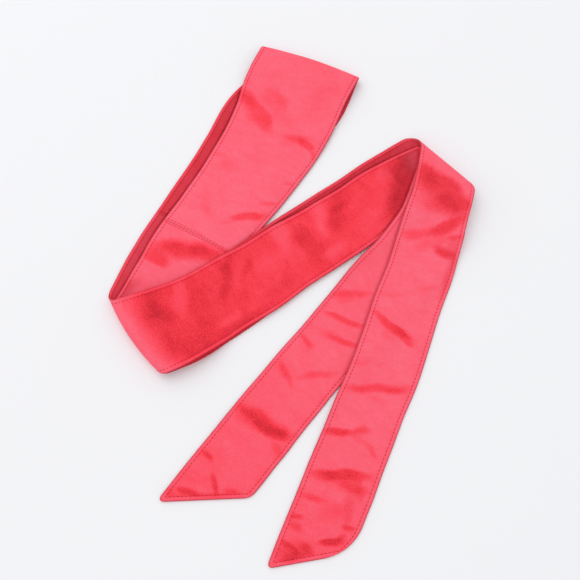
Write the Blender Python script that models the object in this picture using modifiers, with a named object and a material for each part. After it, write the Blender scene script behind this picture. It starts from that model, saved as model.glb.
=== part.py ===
"""Long obi wrap belt of suedette, folded and laid flat: a wide waist panel and two long ties.

The belt is doubled at the middle of the waist panel, so its front half lies on its back half. Both
halves are then folded over at the left and folded over again at the right, and the two ties end side
by side. Sizes and plan positions are in millimetres, with the zero of the plan at the middle of the
footprint; the meshes are made in metres and stand on z = 0.
"""

import math
from collections import namedtuple

import bpy
import numpy as np

MM = 0.001

# Driving sizes of the cloth
WALL = 2.0  # two thicknesses of suedette, turned and topstitched into one wall
LAYER_GAP = 0.5  # air between two layers that lie on each other
SEAM_GAP = 0.3  # between the waist panel and a tie, where they are sewn together
PITCH = WALL + LAYER_GAP  # from one layer to the next

# Width of the belt by the distance from the middle of the waist panel
Width = namedtuple("Width", "along width")
WIDTHS = (
    Width(along=0, width=114),
    Width(along=60, width=112),
    Width(along=90, width=107.5),
    Width(along=120, width=102.5),
    Width(along=160, width=95.5),
    Width(along=238, width=84),
    Width(along=350, width=80),
    Width(along=400, width=77.5),
    Width(along=450, width=77),
    Width(along=520, width=75),
    Width(along=600, width=71),
    Width(along=680, width=66),
    Width(along=1200, width=66.5),
)
WAIST_HALF = 240.0  # from the middle of the waist panel to the seam of a tie
DOUBLED_AT = 2.5  # the belt is doubled this far behind the middle of the waist panel
SEAM_LEAN = -math.tan(math.radians(6))  # the seams are square to the upper edge, not to the middle

# How the cloth lies
DROP_REACH = 12.0  # a layer comes down beside the edge of the one below over this distance
DROP_SLOPE = 4.0  # and over this much more for each millimetre of drop
BLEND = 8  # how sharply the highest of the layers below decides the height
ROLL_REACH = 70.0  # from a soft fold to where the layers above it lie flat again
LEVEL_REACH = 25.0  # from a fold to where the layers below it lie as before
LEAN_REACH = 100.0  # over this length the sections turn from square to the line of a fold or a cut
SETTLE_REACH = 90.0  # over this length a strip settles onto the line of a fold
STEEPEST = 1.6  # an edge runs along a fold by no more than this for each millimetre out

# Grid of each strip
ROW_STEP = 9.0
COLUMNS = 10
TURN_STEPS = 8
END_STEPS = 7
END_REACH = 30.0

# The folds: the middle of the line about which the cloth turns, the direction of that line, the turn
# from it to the outside, the radius of the innermost layer, and how far the line bows outwards, at
# its peak and over the reach to both sides. Each layer, from the lowest up, has the places along the
# line where its upper and lower edges cross it.
Fold = namedtuple("Fold", "x y angle outward radius bow peak reach layers")
Layer = namedtuple("Layer", "name upper lower")
FOLDS = {
    "top": Fold(x=16.5, y=243.5, angle=-21.6, outward=90, radius=4.0, bow=4.5, peak=5, reach=64, layers=(
        Layer("back_down", -56, 56), Layer("front_down", -58, 57),
    )),
    "left": Fold(x=-147, y=-59, angle=-51.7, outward=-90, radius=3.5, bow=6, peak=5, reach=52, layers=(
        Layer("back_down", -59, 34), Layer("front_down", -47, 42),
        Layer("front_band", -37.5, 49), Layer("back_band", -42, 49),
    )),
    "right": Fold(x=151.5, y=120.5, angle=-44.6, outward=90, radius=4.0, bow=0, peak=0, reach=60, layers=(
        Layer("front_band", -49, 22), Layer("back_band", -33.5, 32),
        Layer("back_tail", -23.5, 42), Layer("front_tail", -26.5, 47),
    )),
}

# The middle line of each stretch in the plan, from the waist outwards, and the side on which the
# lower edge of the belt lies. Stretches are listed from the lowest up. Where a stretch starts or ends
# at a fold, its line starts or ends in the middle of its layer there.
Spot = namedtuple("Spot", "x y")
Stretch = namedtuple("Stretch", "start end side spots")
STRETCHES = {
    "back_down": Stretch("top", "left", 1, (
        Spot(-1.5, 203.5), Spot(-29, 174), Spot(-49.5, 137.5), Spot(-75, 97.5), Spot(-102.5, 57),
        Spot(-125, 18.5), Spot(-143, -14.5),
    )),
    "front_down": Stretch("top", "left", 1, (
        Spot(0.5, 212), Spot(-12, 177.5), Spot(-34.5, 133), Spot(-56, 98.5), Spot(-79, 65.5),
        Spot(-98.5, 39.5), Spot(-121.5, -3.5),
    )),
    "front_band": Stretch("left", "right", -1, (
        Spot(-110.5, -51.5), Spot(-85, -34), Spot(-57, -15), Spot(-12.5, 20.5), Spot(15.5, 42),
        Spot(57.5, 72.5), Spot(100, 104.5),
    )),
    "back_band": Stretch("left", "right", -1, (
        Spot(-106.5, -45.5), Spot(-70, -22.5), Spot(-36.5, -1.5), Spot(-2, 23), Spot(31.5, 44),
        Spot(65.5, 67.5), Spot(99.5, 94),
    )),
    "back_tail": Stretch("right", None, 1, (
        Spot(149, 85.5), Spot(137, 55.5), Spot(115.5, 24), Spot(89.5, -3.5), Spot(46, -56),
        Spot(15.5, -91.5), Spot(-22, -137), Spot(-61, -185), Spot(-83.5, -213.5),
    )),
    "front_tail": Stretch("right", None, 1, (
        Spot(153, 85.5), Spot(143, 57), Spot(127, 8), Spot(108, -39), Spot(91, -85),
        Spot(70, -132), Spot(50, -178.5), Spot(30, -224), Spot(12.5, -265),
    )),
}

# The cut ends of the ties: the angle between the cut and the tie, and how far along the outline the
# rounding of the pointed and of the blunt corner reaches
End = namedtuple("End", "angle pointed blunt")
ENDS = {
    "back_tail": End(angle=49.5, pointed=10, blunt=7),
    "front_tail": End(angle=57.5, pointed=8, blunt=28),
}

# Pieces that are cut and sewn: the stretches of each tie, from its seam to its end
TIES = {
    "tie_back": ("back_down", "back_band", "back_tail"),
    "tie_front": ("front_down", "front_band", "front_tail"),
}

# Material of the cloth
SUEDETTE_COLOURS = {
    "waist_panel": (0.80, 0.075, 0.11, 1.0),
    "tie_back": (0.74, 0.045, 0.075, 1.0),
    "tie_front": (0.78, 0.06, 0.095, 1.0),
}
ROUGHNESS = 0.85


def ease(distance, reach):
    """1 at a place and 0 from `reach` on, level at both."""
    share = np.clip(np.abs(distance) / reach, 0.0, 1.0)
    return (1 - share**2) ** 2


def unit(degrees):
    return np.array([math.cos(math.radians(degrees)), math.sin(math.radians(degrees))])


def fold_axes(fold):
    """The middle of a fold's line, the direction along it and the direction out of the belt."""
    return np.array([fold.x, fold.y]), unit(fold.angle), unit(fold.angle + fold.outward)


def bowed(fold, along):
    """How far the line of a fold lies outwards, at a distance along it."""
    return fold.bow * (1 - np.clip(np.abs(along - fold.peak) / fold.reach, 0, 1) ** 2)


def crossing(fold, name, count):
    """Plan points on the line of a fold where the columns of a layer cross it."""
    middle, ahead, outward = fold_axes(fold)
    layer = next(layer for layer in fold.layers if layer.name == name)
    along = np.linspace(layer.upper, layer.lower, count)
    return middle + along[:, None] * ahead + bowed(fold, along)[:, None] * outward


def layer_place(fold, name):
    """Layers between this one and the inside of the fold, and whether it lies above the inside."""
    half = len(fold.layers) // 2
    place = [layer.name for layer in fold.layers].index(name)
    return (place - half, True) if place >= half else (half - 1 - place, False)


def turn_radius(fold, name):
    return fold.radius + PITCH * layer_place(fold, name)[0]


def turn_height(fold):
    """Height of the line about which the layers turn."""
    return WALL / 2 + (len(fold.layers) / 2 - 1) * PITCH + fold.radius


def fold_level(fold, name):
    """Height of a layer where it starts or ends its turn."""
    turn = turn_radius(fold, name)
    return turn_height(fold) + (turn if layer_place(fold, name)[1] else -turn)


def smooth_curve(spots, step=2.0):
    """Points close together on a smooth curve through the spots."""
    chord = np.linalg.norm(np.diff(spots, axis=0), axis=1)
    slope = np.diff(spots, axis=0) / chord[:, None]
    before, after = chord[:-1, None], chord[1:, None]
    inner = (slope[:-1] * after + slope[1:] * before) / (before + after)
    first, last = 1.5 * slope[0] - 0.5 * inner[0], 1.5 * slope[-1] - 0.5 * inner[-1]
    tangent = np.vstack([first, inner, last])
    pieces = []
    for i, length in enumerate(chord):
        t = np.arange(0, 1, step / length)[:, None]
        pieces.append(
            (2 * t**3 - 3 * t**2 + 1) * spots[i]
            + (t**3 - 2 * t**2 + t) * length * tangent[i]
            + (3 * t**2 - 2 * t**3) * spots[i + 1]
            + (t**3 - t**2) * length * tangent[i + 1]
        )
    return np.vstack([*pieces, spots[-1:]])


def half_width(station):
    table = np.array(WIDTHS)
    return np.interp(station, table[:, 0], table[:, 1]) / 2


def corner_cut(distance, reach):
    """How far a rounded corner draws the outline in, at a distance along the edge from the cut."""
    return reach * (1 - np.sqrt(np.clip(distance / reach, 0, 1))) ** 2


class Path:
    """The middle line of one stretch, with the sections across it."""

    def __init__(self, name, station):
        self.name, self.station, self.stretch = name, station, STRETCHES[name]
        before, after = (
            crossing(FOLDS[fold], name, 3)[1:2] if fold else np.empty((0, 2))
            for fold in (self.stretch.start, self.stretch.end)
        )
        spots = np.vstack([before, np.array(self.stretch.spots, float), after])
        self.line = smooth_curve(spots)
        steps = np.diff(self.line, axis=0)
        self.at = np.concatenate([[0], np.cumsum(np.linalg.norm(steps, axis=1))])
        self.length = self.at[-1]
        turned = np.unwrap(np.arctan2(steps[:, 1], steps[:, 0]))
        self.heading = np.interp(self.at, (self.at[:-1] + self.at[1:]) / 2, turned)
        self.outline = self.make_outline()

    def frame(self, along):
        """Place, direction ahead and direction across, towards the lower edge of the belt."""
        inside = np.clip(along, 0, self.length)
        heading = np.interp(inside, self.at, self.heading)
        ahead = np.stack([np.cos(heading), np.sin(heading)], -1)
        place = np.stack([np.interp(inside, self.at, self.line[:, i]) for i in (0, 1)], -1)
        place = place + ahead * (along - inside)[..., None]
        return place, ahead, np.stack([-ahead[..., 1], ahead[..., 0]], -1) * self.stretch.side

    def fold_lean(self, fold_name, at):
        """How far a section runs ahead for each millimetre across, to follow the line of a fold."""
        _, ahead, across = self.frame(np.array(at))
        outward = fold_axes(FOLDS[fold_name])[2]
        return -np.dot(across, outward) / np.dot(ahead, outward)

    def lean(self, at):
        """How far a section runs ahead for each millimetre across."""
        lean = 0.0
        if self.stretch.start:
            lean += self.fold_lean(self.stretch.start, 0.0) * ease(at, LEAN_REACH)
        if self.stretch.end:
            lean += self.fold_lean(self.stretch.end, self.length) * ease(self.length - at, LEAN_REACH)
        else:
            lean += self.end_lean() * ease(self.length - at, LEAN_REACH)
        if self.name.endswith("down"):
            lean += SEAM_LEAN * ease(self.seam_at() - at, LEAN_REACH)
        return lean

    def end_lean(self):
        return -1 / math.tan(math.radians(ENDS[self.name].angle))

    def seam_at(self):
        return WAIST_HALF - self.station

    def edges(self, at, lean):
        """How far across the two edges of the section at this place lie."""
        ahead = lean * half_width(self.station + at)
        low = -half_width(self.station + at - ahead)
        high = half_width(self.station + at + ahead)
        if self.name in ENDS:
            end = ENDS[self.name]
            left = self.length - at
            grow = math.sqrt(1 + lean**2)
            low += corner_cut(left + (self.end_lean() - lean) * low, end.pointed) / grow
            high -= corner_cut(left + (self.end_lean() - lean) * high, end.blunt) / grow
        return low, high

    def section(self, at):
        lean = self.lean(at)
        low, high = self.edges(at, lean)
        across = np.linspace(low, high, COLUMNS + 1)
        place, _, side = self.frame(at + lean * across)
        return place + side * across[:, None]

    def plan(self, places):
        """Plan points of the sections at these places, a row for each."""
        rows = np.array([self.section(at) for at in places])
        for fold_name, at in ((self.stretch.start, 0.0), (self.stretch.end, self.length)):
            if fold_name:
                miss = crossing(FOLDS[fold_name], self.name, COLUMNS + 1) - self.section(at)
                rows += ease(places - at, SETTLE_REACH)[:, None, None] * miss
        return rows

    def places(self, first, last):
        """Where the sections lie between two places, closer together towards a cut end."""
        close = END_REACH if last == self.length and not self.stretch.end else 0.0
        count = max(2, round((last - close - first) / ROW_STEP) + 1)
        even = np.linspace(first, last - close, count)
        if not close:
            return even
        return np.concatenate([even, last - close * (np.arange(END_STEPS)[::-1] / END_STEPS) ** 2])

    def make_outline(self):
        rows = self.plan(self.places(0.0, self.length))
        return np.vstack([rows[:, 0], rows[::-1, -1]])


def distance_outside(points, outline):
    """Distance of plan points from a closed outline, 0 inside it."""
    start, end = outline, np.roll(outline, -1, axis=0)
    side = end - start
    off = points[:, None] - start
    share = np.clip((off * side).sum(-1) / np.maximum((side**2).sum(-1), 1e-9), 0, 1)
    distance = np.linalg.norm(off - share[..., None] * side, axis=-1).min(axis=1)
    above = start[:, 1] > points[:, 1:2]
    crosses = above != (end[:, 1] > points[:, 1:2])
    with np.errstate(divide="ignore", invalid="ignore"):
        at = start[:, 0] + (points[:, 1:2] - start[:, 1]) * side[:, 0] / side[:, 1]
    inside = (crosses & (points[:, :1] < at)).sum(axis=1) % 2 == 1
    return np.where(inside, 0.0, distance)


def heights(paths, name, points):
    """Height of the middle of the wall of this stretch over plan points."""
    lying = []
    for path in paths.values():
        lift = np.zeros(len(points))
        for z, outside in lying:
            drop = z + PITCH - WALL / 2
            lift += (drop * ease(outside, DROP_REACH + DROP_SLOPE * drop)) ** BLEND
        z = WALL / 2 + lift ** (1 / BLEND)
        for fold_name in (path.stretch.start, path.stretch.end):
            if fold_name:
                fold = FOLDS[fold_name]
                middle, along, outward = fold_axes(fold)
                off = points - middle
                inwards = np.maximum(bowed(fold, off @ along) - off @ outward, 0)
                reach = ROLL_REACH if layer_place(fold, path.name)[1] else LEVEL_REACH
                z += np.maximum(fold_level(fold, path.name) - z, 0) * ease(inwards, reach)
        if path.name == name:
            return z
        lying.append((z, distance_outside(points, path.outline)))


def laid(paths, name, places):
    """Points of the middle of the wall, a row for each section of a stretch."""
    plan = paths[name].plan(places)
    z = heights(paths, name, plan.reshape(-1, 2)).reshape(plan.shape[:2])
    return np.dstack([plan, z])


def run_on(fold, radius, last, before):
    """How far along a fold the columns of a layer would run on, over the length of its turn."""
    _, along, outward = fold_axes(fold)
    off = (last - before)[:, :2]
    steady = np.clip((off @ along) / np.maximum(off @ outward, 0.5), -STEEPEST, STEEPEST)
    return steady * math.pi * radius


def turn(fold, name, below, above):
    """Rows round a fold, between the rows below it and the rows above it."""
    middle, along, outward = fold_axes(fold)
    from_along, to_along = ((row[:, :2] - middle) @ along for row in (below[-1], above[0]))
    radius, rows = turn_radius(fold, name), []
    leave, arrive = run_on(fold, radius, below[-1], below[-2]), run_on(fold, radius, above[0], above[1])
    for step in range(1, TURN_STEPS):
        s = step / TURN_STEPS
        angle = math.pi * (s - 0.5)
        at = from_along * (2 * s**3 - 3 * s**2 + 1) + leave * (s**3 - 2 * s**2 + s)
        at += to_along * (3 * s**2 - 2 * s**3) - arrive * (s**3 - s**2)
        out = bowed(fold, at) + radius * math.cos(angle)
        plan = middle + at[:, None] * along + out[:, None] * outward
        z = np.full(len(at), turn_height(fold) + radius * math.sin(angle))
        rows.append(np.column_stack([plan, z]))
    return np.array(rows)


def lay_paths():
    """The path of each stretch, from the lowest up, by its name."""
    top = FOLDS["top"]
    found = {}
    for tie, names in TIES.items():
        station = math.pi * top.radius / 2 + (DOUBLED_AT if tie == "tie_back" else -DOUBLED_AT)
        for name in names:
            found[name] = Path(name, station)
            fold = FOLDS.get(STRETCHES[name].end)
            if fold:
                station += found[name].length + math.pi * turn_radius(fold, name)
    return {name: found[name] for name in STRETCHES}


def tie_rows(paths, names):
    rows = []
    for name in names:
        path = paths[name]
        first = path.seam_at() + SEAM_GAP / 2 if name == names[0] else 0.0
        strip = laid(paths, name, path.places(first, path.length))
        if rows:
            rows.append(turn(FOLDS[path.stretch.start], name, rows[-1], strip))
        rows.append(strip)
    return np.vstack(rows)


def panel_rows(paths):
    halves = []
    for name in ("back_down", "front_down"):
        path = paths[name]
        halves.append(laid(paths, name, path.places(0.0, path.seam_at() - SEAM_GAP / 2)))
    back, front = halves
    return np.vstack([back[::-1], turn(FOLDS["top"], "back_down", back[::-1], front), front])


def suedette(name):
    material = bpy.data.materials.new("suedette_" + name)
    material.use_nodes = True
    shader = material.node_tree.nodes["Principled BSDF"]
    shader.inputs["Base Color"].default_value = SUEDETTE_COLOURS[name]
    shader.inputs["Roughness"].default_value = ROUGHNESS
    material.diffuse_color = SUEDETTE_COLOURS[name]
    return material


def add_strip(collection, name, rows):
    """A wall of cloth with these rows along its middle."""
    count, wide = rows.shape[:2]
    corner = np.arange(count * wide).reshape(count, wide)
    faces = np.stack([corner[:-1, :-1], corner[:-1, 1:], corner[1:, 1:], corner[1:, :-1]], -1)
    mesh = bpy.data.meshes.new(name)
    mesh.from_pydata((rows.reshape(-1, 3) * MM).tolist(), [], faces.reshape(-1, 4).tolist())
    mesh.shade_smooth()
    mesh.materials.append(suedette(name))
    strip = bpy.data.objects.new(name, mesh)
    wall = strip.modifiers.new("wall", "SOLIDIFY")
    wall.thickness = WALL * MM
    wall.offset = 0.0
    wall.use_even_offset = True
    collection.objects.link(strip)


def main():
    for old in list(bpy.data.objects):
        bpy.data.objects.remove(old)
    belt = bpy.data.collections.new("obi_belt")
    bpy.context.scene.collection.children.link(belt)
    paths = lay_paths()
    add_strip(belt, "waist_panel", panel_rows(paths))
    for name, stretches in TIES.items():
        add_strip(belt, name, tie_rows(paths, stretches))


main()
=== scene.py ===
import math
from collections import namedtuple

import bpy
import numpy as np
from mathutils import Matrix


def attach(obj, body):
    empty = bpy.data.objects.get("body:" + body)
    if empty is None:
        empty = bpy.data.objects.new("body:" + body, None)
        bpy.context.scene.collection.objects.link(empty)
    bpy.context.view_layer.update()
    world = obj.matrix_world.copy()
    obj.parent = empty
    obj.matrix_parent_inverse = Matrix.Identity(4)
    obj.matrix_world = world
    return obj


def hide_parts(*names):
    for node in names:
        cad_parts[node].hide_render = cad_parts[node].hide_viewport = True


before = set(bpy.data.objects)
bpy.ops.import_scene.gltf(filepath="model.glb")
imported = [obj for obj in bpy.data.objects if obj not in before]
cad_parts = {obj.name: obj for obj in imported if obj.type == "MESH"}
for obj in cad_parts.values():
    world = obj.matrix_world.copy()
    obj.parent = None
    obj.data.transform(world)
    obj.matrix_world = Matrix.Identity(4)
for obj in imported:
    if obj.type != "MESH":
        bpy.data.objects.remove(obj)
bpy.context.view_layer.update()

scene = bpy.context.scene
mm = 0.001  # plan points and cloth sizes are in millimetres, meshes in metres


def deselectAll():
    for thing in bpy.context.selected_objects:
        thing.select_set(False)


def linearColour(hexColour):
    parts = [int(hexColour[i:i + 2], 16) / 255 for i in (1, 3, 5)]
    return [p / 12.92 if p <= 0.04045 else ((p + 0.055) / 1.055) ** 2.4 for p in parts] + [1.0]


def addNode(tree, kind, settings=None, links=None):
    node = tree.nodes.new(kind)
    for key, value in (settings or {}).items():
        if isinstance(key, str) and hasattr(node, key):
            setattr(node, key, value)
        else:
            node.inputs[key].default_value = value
    for socket, source in (links or {}).items():
        tree.links.new(source, node.inputs[socket])
    return node


# How the belt lies: the same sizes as in the part. The widths, the folds with their layers, the middle
# lines and the angles of the cuts come from a least-squares fit to outlines read in the photograph,
# rounded, and about a fifth of those numbers were then changed.
lay = {
    "wall": 2.0,         # two thicknesses of suedette, turned and topstitched
    "pitch": 2.5,        # from one layer to the next
    "seamGap": 0.3,
    "waistHalf": 240.0,  # from the middle of the waist panel to a seam
    "doubledAt": 2.5,    # the belt is doubled this far behind its middle
    "seamLean": -math.tan(math.radians(6)),
    "dropReach": 12.0,   # a layer comes down beside an edge over this distance
    "dropSlope": 4.0,    # and this much more for each millimetre of drop
    "blend": 8,
    "rollReach": 70.0,   # from a fold to where the layers above it lie flat
    "levelReach": 25.0,
    "leanReach": 100.0,
    "settleReach": 90.0,
    # width by the distance from the middle of the waist panel
    "widths": {
        0: 114, 60: 112, 90: 107.5, 120: 102.5, 160: 95.5, 238: 84, 350: 80, 400: 77.5, 450: 77, 520: 75,
        600: 71, 680: 66, 1200: 66.5,
    },
    # each fold: its line, the way out, how it bows, and the spans of its layers from the lowest up
    "folds": {
        "top": dict(x=16.5, y=243.5, angle=-21.6, outward=90, radius=4.0, bow=4.5, peak=5, reach=64, layers=[
            dict(name="backDown", upper=-56, lower=56), dict(name="frontDown", upper=-58, lower=57)]),
        "left": dict(x=-147, y=-59, angle=-51.7, outward=-90, radius=3.5, bow=6, peak=5, reach=52, layers=[
            dict(name="backDown", upper=-59, lower=34), dict(name="frontDown", upper=-47, lower=42),
            dict(name="frontBand", upper=-37.5, lower=49), dict(name="backBand", upper=-42, lower=49)]),
        "right": dict(x=151.5, y=120.5, angle=-44.6, outward=90, radius=4.0, bow=0, peak=0, reach=60, layers=[
            dict(name="frontBand", upper=-49, lower=22), dict(name="backBand", upper=-33.5, lower=32),
            dict(name="backTail", upper=-23.5, lower=42), dict(name="frontTail", upper=-26.5, lower=47)]),
    },
    # the middle line of each stretch, from the lowest up, and the side of its lower edge
    "stretches": {
        "backDown": dict(start="top", end="left", side=1, spots=[
            (-1.5, 203.5), (-29, 174), (-49.5, 137.5), (-75, 97.5), (-102.5, 57), (-125, 18.5),
            (-143, -14.5)]),
        "frontDown": dict(start="top", end="left", side=1, spots=[
            (0.5, 212), (-12, 177.5), (-34.5, 133), (-56, 98.5), (-79, 65.5), (-98.5, 39.5), (-121.5, -3.5)]),
        "frontBand": dict(start="left", end="right", side=-1, spots=[
            (-110.5, -51.5), (-85, -34), (-57, -15), (-12.5, 20.5), (15.5, 42), (57.5, 72.5), (100, 104.5)]),
        "backBand": dict(start="left", end="right", side=-1, spots=[
            (-106.5, -45.5), (-70, -22.5), (-36.5, -1.5), (-2, 23), (31.5, 44), (65.5, 67.5), (99.5, 94)]),
        "backTail": dict(start="right", end=None, side=1, spots=[
            (149, 85.5), (137, 55.5), (115.5, 24), (89.5, -3.5), (46, -56),
            (15.5, -91.5), (-22, -137), (-61, -185), (-83.5, -213.5)]),
        "frontTail": dict(start="right", end=None, side=1, spots=[
            (153, 85.5), (143, 57), (127, 8), (108, -39), (91, -85),
            (70, -132), (50, -178.5), (30, -224), (12.5, -265)]),
    },
    # the cut ends: angle of the cut to the tie, and the reach of the two rounded corners
    "ends": {
        "backTail": dict(angle=49.5, pointed=10, blunt=7),
        "frontTail": dict(angle=57.5, pointed=8, blunt=28),
    },
    "outlineStep": 9.0,
    "edgeWave": 0.35,    # the sewn edges wander by this much
}


# the value between the entries of a table, which holds values by their places
def readTable(table, at):
    return np.interp(at, list(table), list(table.values()))


def ease(distance, reach):
    share = np.clip(np.abs(distance) / reach, 0, 1)
    return (1 - share**2) ** 2


def unit(degrees):
    return np.array([math.cos(math.radians(degrees)), math.sin(math.radians(degrees))])


def foldAxes(fold):
    return np.array([fold["x"], fold["y"]]), unit(fold["angle"]), unit(fold["angle"] + fold["outward"])


def bowed(fold, along):
    return fold["bow"] * (1 - np.clip(np.abs(along - fold["peak"]) / fold["reach"], 0, 1) ** 2)


# how far plan points lie inside the line of a fold
def insideFold(fold, points):
    middle, along, outward = foldAxes(fold)
    off = points - middle
    return np.maximum(bowed(fold, off @ along) - off @ outward, 0)


# plan points on the line of a fold, at shares of the way from the upper to the lower edge of a layer
def crossing(fold, name, share):
    middle, ahead, outward = foldAxes(fold)
    layer = next(layer for layer in fold["layers"] if layer["name"] == name)
    along = layer["upper"] + (layer["lower"] - layer["upper"]) * share
    return middle + along[..., None] * ahead + bowed(fold, along)[..., None] * outward


def layerPlace(fold, name):
    half = len(fold["layers"]) // 2
    place = [layer["name"] for layer in fold["layers"]].index(name)
    return (place - half, True) if place >= half else (half - 1 - place, False)


def turnRadius(fold, name):
    return fold["radius"] + lay["pitch"] * layerPlace(fold, name)[0]


def turnHeight(fold):
    return lay["wall"] / 2 + (len(fold["layers"]) / 2 - 1) * lay["pitch"] + fold["radius"]


def foldLevel(fold, name):
    radius = turnRadius(fold, name)
    return turnHeight(fold) + (radius if layerPlace(fold, name)[1] else -radius)


def smoothCurve(spots, step=2.0):
    chord = np.linalg.norm(np.diff(spots, axis=0), axis=1)
    slope = np.diff(spots, axis=0) / chord[:, None]
    before, after = chord[:-1, None], chord[1:, None]
    inner = (slope[:-1] * after + slope[1:] * before) / (before + after)
    tangent = np.vstack([1.5 * slope[0] - 0.5 * inner[0], inner, 1.5 * slope[-1] - 0.5 * inner[-1]])
    parts = []
    for i, length in enumerate(chord):
        t = np.arange(0, 1, step / length)[:, None]
        parts.append((2 * t**3 - 3 * t**2 + 1) * spots[i] + (t**3 - 2 * t**2 + t) * length * tangent[i]
                     + (3 * t**2 - 2 * t**3) * spots[i + 1] + (t**3 - t**2) * length * tangent[i + 1])
    return np.vstack([*parts, spots[-1:]])


def halfWidth(station):
    # the table's corners are softened by averaging over a short way
    return sum(readTable(lay["widths"], station + shift) for shift in (-12, -6, 0, 6, 12)) / 10


def cornerCut(distance, reach):
    return reach * (1 - np.sqrt(np.clip(distance / reach, 0, 1))) ** 2


# a slow wander of the sewn edge, another one for each side
def edgeWander(station, side):
    return lay["edgeWave"] * (np.sin(station / 9.1 + 2.1 * side) * 0.5 + np.sin(station / 23.7 - side) * 0.6)


class ClothPath:
    def __init__(self, name, station):
        self.name, self.station, self.stretch = name, station, lay["stretches"][name]
        spots = np.array(self.stretch["spots"], float)
        for foldName, first in ((self.stretch["start"], True), (self.stretch["end"], False)):
            if foldName:
                middle = crossing(lay["folds"][foldName], name, np.array([0.5]))
                spots = np.vstack([middle, spots] if first else [spots, middle])
        self.line = smoothCurve(spots)
        steps = np.diff(self.line, axis=0)
        self.at = np.concatenate([[0], np.cumsum(np.linalg.norm(steps, axis=1))])
        self.length = self.at[-1]
        turned = np.unwrap(np.arctan2(steps[:, 1], steps[:, 0]))
        self.heading = np.interp(self.at, (self.at[:-1] + self.at[1:]) / 2, turned)
        self.seamAt = lay["waistHalf"] - station
        self.outline = self.makeOutline()

    def clothFrame(self, along):
        inside = np.clip(along, 0, self.length)
        heading = np.interp(inside, self.at, self.heading)
        ahead = np.stack([np.cos(heading), np.sin(heading)], -1)
        place = np.stack([np.interp(inside, self.at, self.line[:, i]) for i in (0, 1)], -1)
        place = place + ahead * (along - inside)[..., None]
        return place, ahead, np.stack([-ahead[..., 1], ahead[..., 0]], -1) * self.stretch["side"]

    def foldLean(self, foldName, at):
        _, ahead, across = self.clothFrame(np.array(at))
        outward = foldAxes(lay["folds"][foldName])[2]
        return -np.dot(across, outward) / np.dot(ahead, outward)

    def endLean(self):
        return -1 / math.tan(math.radians(lay["ends"][self.name]["angle"]))

    # how far the sections run ahead for each millimetre across
    def lean(self, at):
        lean = np.zeros(len(at))
        if self.stretch["start"]:
            lean += self.foldLean(self.stretch["start"], 0.0) * ease(at, lay["leanReach"])
        if self.stretch["end"]:
            lean += self.foldLean(self.stretch["end"], self.length) * ease(self.length - at, lay["leanReach"])
        else:
            lean += self.endLean() * ease(self.length - at, lay["leanReach"])
        if self.name.endswith("Down"):
            lean += lay["seamLean"] * ease(self.seamAt - at, lay["leanReach"])
        return lean

    def edges(self, at, lean, wander=0.0):
        ahead = lean * halfWidth(self.station + at)
        low = -halfWidth(self.station + at - ahead) - wander * edgeWander(self.station + at, -1)
        high = halfWidth(self.station + at + ahead) + wander * edgeWander(self.station + at, 1)
        if self.name in lay["ends"]:
            end, left = lay["ends"][self.name], self.length - at
            grow = np.sqrt(1 + lean**2)
            low = low + cornerCut(left + (self.endLean() - lean) * low, end["pointed"]) / grow
            high = high - cornerCut(left + (self.endLean() - lean) * high, end["blunt"]) / grow
        return low, high

    # plan points of the sections at these places, with their cloth coordinates: along and across
    def plan(self, at, columns, wander=0.0):
        lean = self.lean(at)
        low, high = self.edges(at, lean, wander)
        across = columns(low, high)
        share = (across - low[:, None]) / (high - low)[:, None]
        place, _, side = self.clothFrame(at[:, None] + lean[:, None] * across)
        points = place + side * across[..., None]
        for foldName, end in ((self.stretch["start"], 0.0), (self.stretch["end"], self.length)):
            if foldName:
                settle = ease(at - end, lay["settleReach"])
                lowEnd, highEnd = self.edges(np.array([end]), self.lean(np.array([end])), wander)
                acrossEnd = lowEnd + (highEnd - lowEnd) * share
                leanEnd = self.lean(np.array([end]))
                placeEnd, _, sideEnd = self.clothFrame(end + leanEnd * acrossEnd)
                miss = crossing(lay["folds"][foldName], self.name, share)
                miss = miss - (placeEnd + sideEnd * acrossEnd[..., None])
                points = points + settle[:, None, None] * miss
        return points, self.station + at[:, None] + lean[:, None] * across, across, low, high

    def makeOutline(self):
        at = np.linspace(0, self.length, round(self.length / lay["outlineStep"]) + 1)
        if not self.stretch["end"]:
            at = np.concatenate([at[at < self.length - 30], self.length - 30 * (np.arange(7)[::-1] / 7) ** 2])
        points = self.plan(at, lambda low, high: np.stack([low, high], -1))[0]
        return np.vstack([points[:, 0], points[::-1, 1]])


def distanceOutside(points, outline):
    start, side = outline, np.roll(outline, -1, axis=0) - outline
    result = []
    for part in np.array_split(points, max(1, len(points) // 4000)):
        off = part[:, None] - start
        share = np.clip((off * side).sum(-1) / np.maximum((side**2).sum(-1), 1e-9), 0, 1)
        distance = np.linalg.norm(off - share[..., None] * side, axis=-1).min(axis=1)
        above = start[:, 1] > part[:, 1:2]
        crosses = above != (start[:, 1] + side[:, 1] > part[:, 1:2])
        with np.errstate(divide="ignore", invalid="ignore"):
            crossAt = start[:, 0] + (part[:, 1:2] - start[:, 1]) * side[:, 0] / side[:, 1]
        inside = (crosses & (part[:, :1] < crossAt)).sum(axis=1) % 2 == 1
        result.append(np.where(inside, 0.0, distance))
    return np.concatenate(result)


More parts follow.
